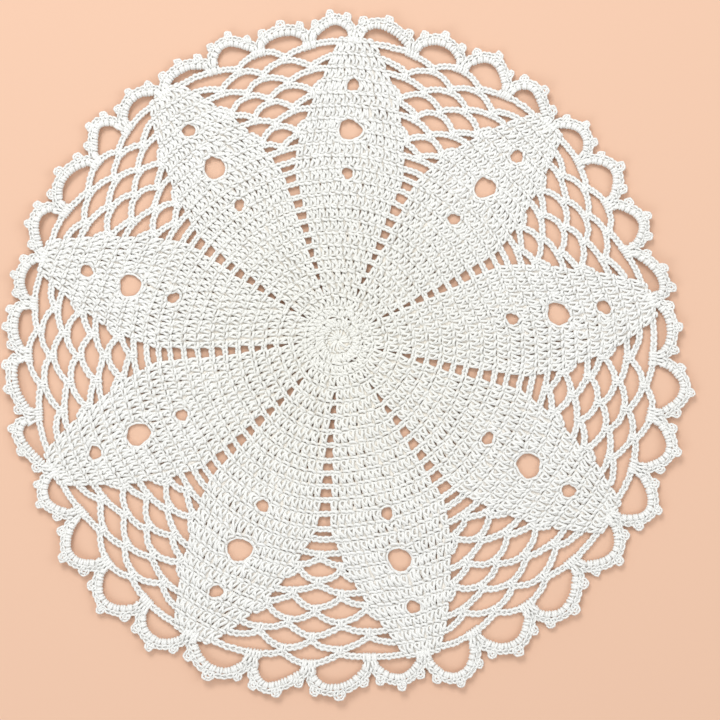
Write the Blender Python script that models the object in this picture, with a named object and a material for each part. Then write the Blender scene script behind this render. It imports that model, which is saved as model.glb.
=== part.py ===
"""Round crocheted lace doily, one flat piece, about 457 mm across.

Nine solid leaves of double crochet grow from a drawn-up ring, with eyelet seams between them. Past the shoulder
the leaves taper, and chain arches fill the space. Thirty-six scallops, each with three picots, edge the piece.
It lies flat: the ring's middle is at the origin, on the underside, and +Z is up. Lengths in the tables are in millimetres.
"""

import math

import bpy
import numpy as np

MM = 0.001

# Driving sizes, in mm
THICK = 3.2  # fabric lying flat
RING = 5.3  # outer radius of the first ring
ROW = 8.7  # height of one round
ROUNDS = 23  # rounds of fabric inside the edging
SHOULDER = 13  # the leaves are widest at the top of this round
LEAVES = 9
LEAF_0 = 6.5  # bearing of the first leaf, in degrees
SEAM_WIDE = 8.8  # width of a seam's eyelets at the shoulder
SEAM_FROM = 16.0  # radius where the seams open
TIP_SHARE = 0.31  # width of a leaf at its tip, as a share of the shoulder's
LEAF_CURVE = 1.8
CORD = 4.0  # width of a chain cord
BAND = 6.2  # width of the edging's band
PICOT_WIDE, PICOT_HIGH = 6.0, 4.3
PICOT_AT = (0.20, 0.51, 0.82)  # along a scallop
RUNG = 3.4  # width of the chain between two seam eyelets
FIRST_OPEN_SEAM = 7  # the seam eyelets of the rounds below this are under 5 mm wide and stay closed here
EDGE = RING + ROW * ROUNDS

# The ring isn't quite in the middle: radius of the edging's base by bearing.
BASE = np.array(
    [
        # bearing_deg, radius_mm
        (0, 210.5),
        (20, 200.5),
        (60, 198.0),
        (100, 198.0),
        (140, 199.0),
        (160, 201.0),
        (180, 206.0),
        (200, 206.5),
        (212, 206.5),
        (235, 216.5),
        (255, 217.0),
        (280, 213.5),
        (305, 217.0),
        (330, 214.0),
        (350, 213.5),
    ]
)

# One row a scallop, in turn round the edge.
SCALLOPS = np.array(
    [
        # start_deg, rise_mm, lean (where the crest stands), power (1 pointed, 2 round, 3 flat)
        (-3.5, 7.0, 0.50, 2.4),
        (7.2, 9.0, 0.32, 2.0),
        (17.0, 12.0, 0.46, 2.0),
        (26.5, 12.5, 0.52, 2.0),
        (36.3, 11.0, 0.45, 2.0),
        (45.5, 9.5, 0.66, 2.0),
        (55.8, 11.0, 0.55, 2.0),
        (65.5, 7.5, 0.50, 2.2),
        (75.5, 8.5, 0.62, 2.2),
        (86.8, 9.5, 0.40, 2.0),
        (95.5, 5.5, 0.50, 2.4),
        (105.5, 9.0, 0.60, 2.0),
        (115.0, 5.0, 0.55, 2.4),
        (125.3, 8.0, 0.52, 2.2),
        (134.8, 11.5, 0.38, 1.5),
        (143.5, 8.5, 0.55, 2.2),
        (154.5, 11.0, 0.36, 1.8),
        (164.3, 7.5, 0.45, 2.2),
        (173.3, 5.5, 0.40, 2.4),
        (182.8, 6.5, 0.34, 2.2),
        (193.8, 11.0, 0.30, 1.5),
        (204.5, 10.5, 0.48, 2.0),
        (213.8, 14.5, 0.52, 2.0),
        (223.8, 14.0, 0.48, 2.0),
        (233.8, 12.0, 0.48, 2.2),
        (243.5, 12.0, 0.55, 2.2),
        (254.8, 12.5, 0.36, 1.5),
        (264.8, 11.0, 0.44, 2.2),
        (275.8, 10.5, 0.52, 2.0),
        (285.3, 16.5, 0.50, 2.4),
        (294.8, 12.0, 0.50, 2.2),
        (305.3, 12.0, 0.42, 1.8),
        (316.5, 12.5, 0.54, 2.0),
        (326.8, 17.0, 0.46, 2.0),
        (336.8, 12.5, 0.50, 2.0),
        (346.5, 13.5, 0.54, 2.2),
    ]
)

# Round holes up the middle of every leaf.
EYELETS = (
    # middle_round, wide_mm, corners
    (12.5, 8.6, 6),
    (16.0, 15.5, 10),
    (19.5, 9.6, 6),
)

# Where the arches of each round are hooked, in degrees from the seam line. An arch also starts and ends at each leaf.
NET = (
    # round, hooks_deg
    (14, ()),
    (15, ()),
    (16, (0.0,)),
    (17, (-5.0, 5.0)),
    (18, (0.0,)),
    (19, (-5.0, 5.0)),
    (20, (-10.0, 0.0, 10.0)),
    (21, (-5.0, 5.0)),
    (22, (-10.0, 0.0, 10.0)),
    (23, (-5.0, 5.0)),
)


def wrapped(bearings, values, at):
    """Values given at some bearings, smoothly in between all the way round."""
    bearings = np.asarray(bearings, float)
    values = np.asarray(values, float)
    at = np.mod(np.asarray(at, float), 360.0)
    turns = np.concatenate([bearings - 360.0, bearings, bearings + 360.0])
    found = np.concatenate([values] * 3)
    i = np.clip(np.searchsorted(turns, at, side="right") - 1, 0, len(turns) - 2)
    t = (at - turns[i]) / (turns[i + 1] - turns[i])
    t = t * t * (3.0 - 2.0 * t)
    return found[i] * (1.0 - t) + found[i + 1] * t


EVEN = -3.5 + 10.0 * np.arange(len(SCALLOPS))  # where the scallops would start if they were all alike
SLACK = SCALLOPS[:, 0] - EVEN


def place(radius, bearing):
    """x and y in mm of a point of the even doily, once it lies as unevenly as the real one."""
    radius, bearing = np.asarray(radius, float), np.asarray(bearing, float)
    share = radius / EDGE
    a = bearing + wrapped(EVEN, SLACK, bearing) * share**1.5
    r = radius * wrapped(BASE[:, 0], BASE[:, 1], a) / EDGE
    return r * np.cos(np.radians(a)), r * np.sin(np.radians(a))


def top(n):
    return RING + ROW * n


def seam_width(radius):
    share = np.clip((radius - SEAM_FROM) / (top(SHOULDER) - SEAM_FROM), 0.0, None)
    return SEAM_WIDE * share**0.8


def leaf_half(radius):
    """Half the angle that a leaf takes up at this radius, in degrees."""
    half_sector = 180.0 / LEAVES
    widest = radius_arc(top(SHOULDER), half_sector) - SEAM_WIDE / 2
    if radius <= top(SHOULDER):
        return half_sector - math.degrees(seam_width(radius) / 2 / radius)
    share = (radius - top(SHOULDER)) / (EDGE - top(SHOULDER))
    half = widest * (1.0 - (1.0 - TIP_SHARE) * share**LEAF_CURVE)
    return math.degrees(half / radius)


def radius_arc(radius, degrees):
    return radius * math.radians(degrees)


def arches(n, hooks, below):
    """The arches of one round, as (start_deg, start_mm, end_deg, end_mm, bulge_mm). below(deg) is the round underneath."""
    gap = 180.0 / LEAVES - leaf_half(top(n) - CORD / 2)
    ends = (-gap, *hooks, gap)
    found = []
    for a, b in zip(ends[:-1], ends[1:]):
        ra, rb = (
            top(n) - CORD / 2 if abs(e) == gap else below(e) + 0.66 * CORD
            for e in (a, b)
        )
        crest = top(n) - CORD / 2
        free = (abs(a) != gap) + (abs(b) != gap)
        width = radius_arc(top(n), b - a)
        bulge = (
            crest - (ra + rb) / 2
            if free == 2
            else (2.2 if free == 1 else 0.8) * min(1.0, width / 30.0)
        )
        found.append((a, ra, b, rb, bulge))
    return found


def cord_height(round_arches, bearing):
    for a, ra, b, rb, bulge in round_arches:
        if a <= bearing <= b:
            t = (bearing - a) / (b - a)
            return ra + (rb - ra) * t + bulge * 4 * t * (1 - t)
    return None


def net():
    """{round: its arches}, one sector of it, about the seam line."""
    found, before = {}, None
    for n, hooks in NET:

        def below(deg, before=before, n=n):
            height = cord_height(before, deg) if before else None
            return top(n - 1) - CORD / 2 if height is None else height

        found[n] = arches(n, hooks, below)
        before = found[n]
    return found


CORDS = net()


def net_gap(n, a, b):
    """Corners of the gap under one arch, about the seam line, or None if it is small."""
    lower = CORDS.get(n - 1)
    clear = CORD / 2

    def floor(deg):
        height = cord_height(lower, deg) if lower else None
        return (top(n - 1) - clear if height is None else height) + clear

    def ceiling(deg):
        return cord_height(CORDS[n], deg) - clear

    bearings = np.linspace(a, b, 81)
    room = np.array([ceiling(d) - floor(d) for d in bearings])
    wide = bearings[room > 1.2]
    if not len(wide):
        return None
    lo, hi = wide[0] + 0.25, wide[-1] - 0.25
    if radius_arc(top(n), hi - lo) < 11.0 or room.max() < 4.0:
        return None
    deepest = min(np.linspace(lo, hi, 41), key=floor)
    deepest = min(max(deepest, lo + 0.3 * (hi - lo)), hi - 0.3 * (hi - lo))
    middle = lambda d: (floor(d) + ceiling(d)) / 2
    third = (hi - lo) / 3
    return [
        (middle(lo), lo),
        (floor(deepest) + 0.3, deepest),
        (middle(hi), hi),
        (ceiling(hi - third), hi - third),
        (ceiling(lo + third), lo + third),
    ]


def scallop_line(row, u):
    """(radius, bearing) along the middle of a scallop's band, of the even doily."""
    start, rise, lean, power = row
    u = np.asarray(u, float)
    v = u ** (math.log(0.5) / math.log(lean))
    height = (rise + BAND / 2 - 2.0) * (1.0 - np.abs(2 * v - 1) ** power) + 2.0
    return height


def scallop(index, u, aside):
    """Points beside the band's middle line, aside mm outwards, with the outward direction there, all in even x and y."""
    row = SCALLOPS[index]
    fine = np.linspace(0.0, 1.0, 201)
    r = EDGE + scallop_line(row, fine)
    a = np.radians(EVEN[index] + 10.0 * fine)
    line = np.stack([r * np.cos(a), r * np.sin(a)], axis=1)
    tangent = np.gradient(line, axis=0)
    tangent /= np.linalg.norm(tangent, axis=1)[:, None]
    normal = np.stack([tangent[:, 1], -tangent[:, 0]], axis=1)
    at = lambda values: np.stack([np.interp(u, fine, values[:, k]) for k in range(2)], axis=1)
    point, out = at(line), at(normal)
    return point + out * aside, out


def evened(points):
    """Even x and y to even radius and bearing."""
    points = np.asarray(points)
    return np.hypot(points[:, 0], points[:, 1]), np.degrees(np.arctan2(points[:, 1], points[:, 0]))


def outline():
    """The outer edge, with a picot's knob at each of its places."""
    found = []
    for i, start in enumerate(EVEN):
        rail, _ = scallop(i, np.linspace(0.0, 1.0, 101), BAND / 2)
        along = np.linalg.norm(np.diff(rail, axis=0), axis=1).sum()
        half = PICOT_WIDE / 2 / along
        corners = [*scallop(i, [0.06], BAND / 2)[0]]
        for k, u in enumerate(PICOT_AT):
            if k:
                corners += [*scallop(i, [(PICOT_AT[k - 1] + u) / 2], BAND / 2)[0]]
            feet, _ = scallop(i, [u - half, u + half], BAND / 2)
            (p,), (out,) = scallop(i, [u], BAND / 2)
            up = 0.3 * out + 0.7 * p / np.linalg.norm(p)
            up /= np.linalg.norm(up)
            side = np.array([-up[1], up[0]]) * PICOT_WIDE / 2 * 0.62
            corners += [feet[0], p - side + up * PICOT_HIGH, p + side + up * PICOT_HIGH, feet[1]]
        corners += [*scallop(i, [0.94], BAND / 2)[0]]
        r, b = evened(corners)
        b = start + 5.0 + np.mod(b - start - 5.0 + 180.0, 360.0) - 180.0
        notch = EDGE + 2.0 + BAND * 0.9
        found.append((notch, start))
        found += [(rr, bb) for rr, bb in zip(r, b) if start + 0.35 < bb < start + 9.65]
    return found


def scallop_gap(index):
    """The open space between a scallop's band and the fabric."""
    mid = EVEN[index] + 5.0
    seam = LEAF_0 + 20.0 + 40.0 * round((mid - LEAF_0 - 20.0) / 40.0)

    def floor(deg):
        height = cord_height(CORDS[ROUNDS], deg - seam)
        return EDGE if height is None else height + CORD / 2

    inner, _ = scallop(index, np.array([0.14, 0.28, 0.43, 0.57, 0.72, 0.86]), -BAND / 2)
    r, b = evened(inner)
    b = mid + np.mod(b - mid + 180.0, 360.0) - 180.0
    keep = [(rr, bb) for rr, bb in zip(r, b) if rr > floor(bb) + 1.0]  # these run by bearing
    lo, hi = min(x[1] for x in keep), max(x[1] for x in keep)
    lo, hi = max(lo, EVEN[index] + 1.3), min(hi, EVEN[index] + 8.7)
    bottom = [(floor(d) + 0.2, d) for d in (hi, (hi + mid) / 2, mid, (lo + mid) / 2, lo)]
    return keep + bottom


def round_hole(n, wide, corners, bearing):
    turn = 2 * math.pi * (np.arange(corners) + 0.5) / corners
    x = top(0) + ROW * n + wide / 2 * np.cos(turn)
    y = wide / 2 * np.sin(turn)
    return list(zip(np.hypot(x, y), bearing + np.degrees(np.arctan2(y, x))))


def holes():
    found = []
    for k in range(LEAVES):
        leaf = LEAF_0 + 360.0 / LEAVES * k
        seam = leaf + 180.0 / LEAVES
        for n, wide, corners in EYELETS:
            found.append(round_hole(n, wide, corners, leaf))
        for n in range(FIRST_OPEN_SEAM, SHOULDER + 1):
            lo, hi = top(n - 1) + RUNG / 2, top(n) - RUNG / 2
            a = math.degrees((seam_width(lo) / 2 - 0.2) / lo)
            b = math.degrees((seam_width(hi) / 2 - 0.2) / hi)
            found.append([(lo, seam - a), (hi, seam - b), (hi, seam + b), (lo, seam + a)])
        for n, _ in NET:
            for a, _, b, _, _ in CORDS[n]:
                gap = net_gap(n, a, b)
                if gap:
                    found.append([(r, seam + d) for r, d in gap])
    found += [scallop_gap(i) for i in range(len(SCALLOPS))]
    return found


def flat_piece(name, rings, thick, material, collection):
    """One flat piece from closed rings of (radius, bearing), the first being its edge and the others its holes."""
    curve = bpy.data.curves.new(name, "CURVE")
    curve.dimensions = "2D"
    curve.fill_mode = "BOTH"
    curve.extrude = thick / 2 * MM
    curve.resolution_u = 1
    curve.render_resolution_u = 0
    for ring in rings:
        x, y = place(*np.array(ring).T)
        spline = curve.splines.new("POLY")
        spline.points.add(len(x) - 1)
        spline.points.foreach_set(
            "co",
            np.stack([x * MM, y * MM, np.zeros(len(x)), np.ones(len(x))], axis=1).ravel(),
        )
        spline.use_cyclic_u = True
    piece = bpy.data.objects.new(name, curve)
    piece.location.z = thick / 2 * MM
    piece.data.materials.append(material)
    collection.objects.link(piece)
    return piece


def cotton():
    material = bpy.data.materials.new("ivory_cotton")
    material.use_nodes = True
    shader = material.node_tree.nodes["Principled BSDF"]
    shader.inputs["Base Color"].default_value = (0.80, 0.78, 0.72, 1.0)
    shader.inputs["Roughness"].default_value = 0.9
    shader.inputs["Metallic"].default_value = 0.0
    return material


def main():
    for old in list(bpy.data.objects):
        bpy.data.objects.remove(old, do_unlink=True)
    collection = bpy.data.collections.new("lace_doily")
    bpy.context.scene.collection.children.link(collection)
    flat_piece("doily", [outline(), *holes()], THICK, cotton(), collection)


main()
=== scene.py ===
"""Looks of the round crocheted lace doily, worked strand by strand in one ivory cotton yarn.

Every stitch is laid out on the even doily, by radius and bearing, and then placed as unevenly as the real one lies,
with the same tables and functions as the part's own. Lengths are in millimetres until the meshes are made.
"""

import math

import bpy
import numpy as np
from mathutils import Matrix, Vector


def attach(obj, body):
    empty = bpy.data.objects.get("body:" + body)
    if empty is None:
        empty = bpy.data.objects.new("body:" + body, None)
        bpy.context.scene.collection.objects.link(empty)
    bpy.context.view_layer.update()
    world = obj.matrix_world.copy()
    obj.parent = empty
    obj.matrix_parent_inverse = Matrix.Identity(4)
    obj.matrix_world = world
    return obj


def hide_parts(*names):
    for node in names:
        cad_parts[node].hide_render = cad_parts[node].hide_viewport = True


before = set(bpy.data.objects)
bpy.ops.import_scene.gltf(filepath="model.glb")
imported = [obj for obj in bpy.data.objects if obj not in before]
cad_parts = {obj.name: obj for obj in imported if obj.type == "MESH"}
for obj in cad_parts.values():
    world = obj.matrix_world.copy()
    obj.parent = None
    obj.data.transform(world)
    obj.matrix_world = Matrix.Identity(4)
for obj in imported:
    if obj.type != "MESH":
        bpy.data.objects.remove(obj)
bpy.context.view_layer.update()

MM = 0.001
RNG = np.random.default_rng(7)

# ---------------------------------------------------------------- the part's own layout

THICK = 3.2
RING = 5.3
ROW = 8.7
ROUNDS = 23
SHOULDER = 13
LEAVES = 9
LEAF_0 = 6.5
SEAM_WIDE = 8.8
SEAM_FROM = 16.0
TIP_SHARE = 0.31
LEAF_CURVE = 1.8
CORD = 4.0
BAND = 6.2
PICOT_WIDE, PICOT_HIGH = 6.0, 4.3
PICOT_AT = (0.20, 0.51, 0.82)
EDGE = RING + ROW * ROUNDS

BASE = np.array(
    [
        # bearing_deg, radius_mm
        (0, 210.5),
        (20, 200.5),
        (60, 198.0),
        (100, 198.0),
        (140, 199.0),
        (160, 201.0),
        (180, 206.0),
        (200, 206.5),
        (212, 206.5),
        (235, 216.5),
        (255, 217.0),
        (280, 213.5),
        (305, 217.0),
        (330, 214.0),
        (350, 213.5),
    ]
)

SCALLOPS = np.array(
    [
        # start_deg, rise_mm, lean (where the crest stands), power (1 pointed, 2 round, 3 flat)
        (-3.5, 7.0, 0.50, 2.4),
        (7.2, 9.0, 0.32, 2.0),
        (17.0, 12.0, 0.46, 2.0),
        (26.5, 12.5, 0.52, 2.0),
        (36.3, 11.0, 0.45, 2.0),
        (45.5, 9.5, 0.66, 2.0),
        (55.8, 11.0, 0.55, 2.0),
        (65.5, 7.5, 0.50, 2.2),
        (75.5, 8.5, 0.62, 2.2),
        (86.8, 9.5, 0.40, 2.0),
        (95.5, 5.5, 0.50, 2.4),
        (105.5, 9.0, 0.60, 2.0),
        (115.0, 5.0, 0.55, 2.4),
        (125.3, 8.0, 0.52, 2.2),
        (134.8, 11.5, 0.38, 1.5),
        (143.5, 8.5, 0.55, 2.2),
        (154.5, 11.0, 0.36, 1.8),
        (164.3, 7.5, 0.45, 2.2),
        (173.3, 5.5, 0.40, 2.4),
        (182.8, 6.5, 0.34, 2.2),
        (193.8, 11.0, 0.30, 1.5),
        (204.5, 10.5, 0.48, 2.0),
        (213.8, 14.5, 0.52, 2.0),
        (223.8, 14.0, 0.48, 2.0),
        (233.8, 12.0, 0.48, 2.2),
        (243.5, 12.0, 0.55, 2.2),
        (254.8, 12.5, 0.36, 1.5),
        (264.8, 11.0, 0.44, 2.2),
        (275.8, 10.5, 0.52, 2.0),
        (285.3, 16.5, 0.50, 2.4),
        (294.8, 12.0, 0.50, 2.2),
        (305.3, 12.0, 0.42, 1.8),
        (316.5, 12.5, 0.54, 2.0),
        (326.8, 17.0, 0.46, 2.0),
        (336.8, 12.5, 0.50, 2.0),
        (346.5, 13.5, 0.54, 2.2),
    ]
)

NET = (
    # round, hooks_deg
    (14, ()),
    (15, ()),
    (16, (0.0,)),
    (17, (-5.0, 5.0)),
    (18, (0.0,)),
    (19, (-5.0, 5.0)),
    (20, (-10.0, 0.0, 10.0)),
    (21, (-5.0, 5.0)),
    (22, (-10.0, 0.0, 10.0)),
    (23, (-5.0, 5.0)),
)


def wrapped(bearings, values, at):
    bearings = np.asarray(bearings, float)
    values = np.asarray(values, float)
    at = np.mod(np.asarray(at, float), 360.0)
    turns = np.concatenate([bearings - 360.0, bearings, bearings + 360.0])
    found = np.concatenate([values] * 3)
    i = np.clip(np.searchsorted(turns, at, side="right") - 1, 0, len(turns) - 2)
    t = (at - turns[i]) / (turns[i + 1] - turns[i])
    t = t * t * (3.0 - 2.0 * t)
    return found[i] * (1.0 - t) + found[i + 1] * t


EVEN = -3.5 + 10.0 * np.arange(len(SCALLOPS))
SLACK = SCALLOPS[:, 0] - EVEN


def place(radius, bearing):
    """x and y in mm of a point of the even doily, once it lies as unevenly as the real one."""
    radius, bearing = np.asarray(radius, float), np.asarray(bearing, float)
    share = radius / EDGE
    a = bearing + wrapped(EVEN, SLACK, bearing) * share**1.5
    r = radius * wrapped(BASE[:, 0], BASE[:, 1], a) / EDGE
    return r * np.cos(np.radians(a)), r * np.sin(np.radians(a))


def top(n):
    return RING + ROW * n


def seam_width(radius):
    share = np.clip((radius - SEAM_FROM) / (top(SHOULDER) - SEAM_FROM), 0.0, None)
    return SEAM_WIDE * share**0.8


def radius_arc(radius, degrees):
    return radius * math.radians(degrees)


def leaf_half(radius):
    """Half the angle that a leaf takes up at this radius, in degrees."""
    half_sector = 180.0 / LEAVES
    widest = radius_arc(top(SHOULDER), half_sector) - SEAM_WIDE / 2
    if radius <= top(SHOULDER):
        return half_sector - math.degrees(seam_width(radius) / 2 / radius)
    share = (radius - top(SHOULDER)) / (EDGE - top(SHOULDER))
    half = widest * (1.0 - (1.0 - TIP_SHARE) * share**LEAF_CURVE)
    return math.degrees(half / radius)


def arches(n, hooks, below):
    """The arches of one round, as (start_deg, start_mm, end_deg, end_mm, bulge_mm)."""
    gap = 180.0 / LEAVES - leaf_half(top(n) - CORD / 2)
    ends = (-gap, *hooks, gap)
    found = []
    for a, b in zip(ends[:-1], ends[1:]):
        ra, rb = (
            top(n) - CORD / 2 if abs(e) == gap else below(e) + 0.66 * CORD
            for e in (a, b)
        )
        crest = top(n) - CORD / 2
        free = (abs(a) != gap) + (abs(b) != gap)
        width = radius_arc(top(n), b - a)
        bulge = (
            crest - (ra + rb) / 2
            if free == 2
            else (2.2 if free == 1 else 0.8) * min(1.0, width / 30.0)
        )
        found.append((a, ra, b, rb, bulge))
    return found


def cord_height(round_arches, bearing):
    for a, ra, b, rb, bulge in round_arches:
        if a <= bearing <= b:
            t = (bearing - a) / (b - a)
            return ra + (rb - ra) * t + bulge * 4 * t * (1 - t)
    return None


def net():
    """{round: its arches}, one sector of it, about the seam line."""
    found, before = {}, None
    for n, hooks in NET:

        def below(deg, before=before, n=n):
            height = cord_height(before, deg) if before else None
            return top(n - 1) - CORD / 2 if height is None else height

        found[n] = arches(n, hooks, below)
        before = found[n]
    return found


CORDS = net()


def scallop_line(row, u):
    """How far the middle of a scallop's band stands from the edge at u."""
    start, rise, lean, power = row
    v = np.asarray(u, float) ** (math.log(0.5) / math.log(lean))
    return (rise + BAND / 2 - 2.0) * (1.0 - np.abs(2 * v - 1) ** power) + 2.0


# ---------------------------------------------------------------- noise, lift and eyelets


def field(x, y, size, seed):
    """Smooth noise from -1 to 1, with bumps about size mm wide."""
    table = np.random.default_rng(seed).uniform(-1, 1, (64, 64))
    gx, gy = np.asarray(x, float) / size + 200.0, np.asarray(y, float) / size + 200.0
    ix, iy = np.floor(gx).astype(int), np.floor(gy).astype(int)
    fx, fy = gx - ix, gy - iy
    fx, fy = fx * fx * (3 - 2 * fx), fy * fy * (3 - 2 * fy)
    at = lambda a, b: table[a % 64, b % 64]
    return (at(ix, iy) * (1 - fx) + at(ix + 1, iy) * fx) * (1 - fy) + (
        at(ix, iy + 1) * (1 - fx) + at(ix + 1, iy + 1) * fx
    ) * fy


def smooth_step(x):
    x = np.clip(x, 0.0, 1.0)
    return x * x * (3 - 2 * x)


CREST_LIFT = 2.6 + 1.3 * RNG.uniform(-1, 1, len(SCALLOPS))  # how high each scallop's crest stands off the table


def lift(radius, bearing):
    """How far the cloth stands off the table, in mm: nearly flat inside, the scallops up to 4 mm off it."""
    x, y = radius * np.cos(np.radians(bearing)), radius * np.sin(np.radians(bearing))
    waves = 0.35 * (1 + field(x, y, 52.0, 11)) * smooth_step(radius / 60.0)
    turn = np.mod(bearing - EVEN[0], 360.0) / 10.0
    i = np.floor(turn).astype(int) % len(SCALLOPS)
    u = turn - np.floor(turn)
    # A scallop's own part of the edging: none at its pillars, all at its crest
    up = np.sin(np.pi * u) ** 1.3 * smooth_step((radius - EDGE + 4.0) / 14.0)
    return waves + CREST_LIFT[i] * up


EYELETS = (
    # middle_round, half_long_mm, half_wide_mm (of the stitches left out), clear_mm (radius that the yarn keeps clear)
    (12.5, 3.65, 4.75, 5.0),
    (16.0, 8.00, 7.10, 8.5),
    (19.5, 3.65, 4.75, 5.4),
)


def rim(clear, at, leaf, angle):
    """The radius of an eyelet's edge, a little out of round."""
    p, q = 0.7 * leaf + 3.1 * at, 1.3 * leaf + 2.3 * at
    return clear * (1.0 + 0.05 * np.cos(2 * angle + p) + 0.045 * np.cos(3 * angle + q))


def punch(radius, bearing, leaf):
    """Pushes the yarn round each of a leaf's eyelets, from a square of left-out stitches to a circle."""
    a = np.radians(bearing - leaf)
    x, y = radius * np.cos(a), radius * np.sin(a)
    for n, hx, hy, clear in EYELETS:
        px, py = x - top(n), y
        u, v = px / hx, py / hy
        m, e = np.maximum(np.abs(u), np.abs(v)), np.hypot(u, v) + 1e-9
        w = smooth_step((2.3 - m) / 1.3)
        # Never nearer to the middle than the clear circle
        out = np.maximum(m, 0.9) / e * rim(clear, n, leaf, np.arctan2(v, u))
        x = top(n) + px * (1 - w) + u * out * w
        y = py * (1 - w) + v * out * w
    return np.hypot(x, y), leaf + np.degrees(np.arctan2(y, x))


def pinhole(radius, bearing, seam, at, clear):
    """Pushes the yarn off one small round hole on a seam line."""
    a = np.radians(bearing - seam)
    x, y = radius * np.cos(a) - at, radius * np.sin(a)
    e = np.hypot(x, y) + 1e-9
    w = smooth_step((3.2 * clear - e) / (2.4 * clear))
    k = (1 - w) + w * np.sqrt(e * e + clear * clear) / e
    x, y = x * k + at, y * k
    return np.hypot(x, y), seam + np.degrees(np.arctan2(y, x))


def lies(radius, bearing):
    """x and y in mm of a point of the even doily, with the slow waves of cloth that was laid down by hand."""
    x, y = place(radius, bearing)
    sway = 0.9 * smooth_step((np.asarray(radius, float) - 8.0) / 30.0)
    return x + sway * field(x, y, 36.0, 41), y + sway * field(x, y, 36.0, 42)


def laid(radius, bearing, z, wobble=0.32):
    """Nominal radius, bearing and height to where the yarn lies, in mm, with the small unevenness of hand work."""
    radius, bearing = np.asarray(radius, float), np.asarray(bearing, float)
    for seam in range(LEAVES):
        line = LEAF_0 + 20.0 + 40.0 * seam
        near = (radius < 26.0) & (np.abs(np.mod(bearing - line + 180.0, 360.0) - 180.0) < 60.0)
        if near.any():
            r2, b2 = pinhole(radius, bearing, line, 15.9, 1.45 + 0.5 * ((seam * 5) % 3 - 1))
            radius, bearing = np.where(near, r2, radius), np.where(near, b2, bearing)
    x, y = lies(radius, bearing)
    wx = wobble * (field(x, y, 9.0, 21) + 0.6 * field(x, y, 4.0, 22))
    wy = wobble * (field(x, y, 9.0, 23) + 0.6 * field(x, y, 4.0, 24))
    fade = smooth_step((radius - 1.0) / 10.0)
    wz = 0.12 * field(x, y, 6.0, 25)
    height = np.maximum(z + wz, 0.92) + lift(radius, bearing)
    return np.stack([x + wx * fade, y + wy * fade, height], axis=-1)


# ---------------------------------------------------------------- yarn


def spline(corners, per):
    """Matrix from control points to points on the Catmull-Rom curve through them, per points a stretch."""
    rows = []
    for seg in range(corners - 1):
        for k in range(per + (seg == corners - 2)):
            t = k / per
            w = np.array(
                [
                    -0.5 * t**3 + t**2 - 0.5 * t,
                    1.5 * t**3 - 2.5 * t**2 + 1.0,
                    -1.5 * t**3 + 2.0 * t**2 + 0.5 * t,
                    0.5 * t**3 - 0.5 * t**2,
                ]
            )
            row = np.zeros(corners)
            for j, weight in zip(range(seg - 1, seg + 3), w):
                if j < 0:
                    row[0] += 2 * weight
                    row[1] -= weight
                elif j >= corners:
                    row[corners - 1] += 2 * weight
                    row[corners - 2] -= weight
                else:
                    row[j] += weight
            rows.append(row)
    return np.array(rows)


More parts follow.
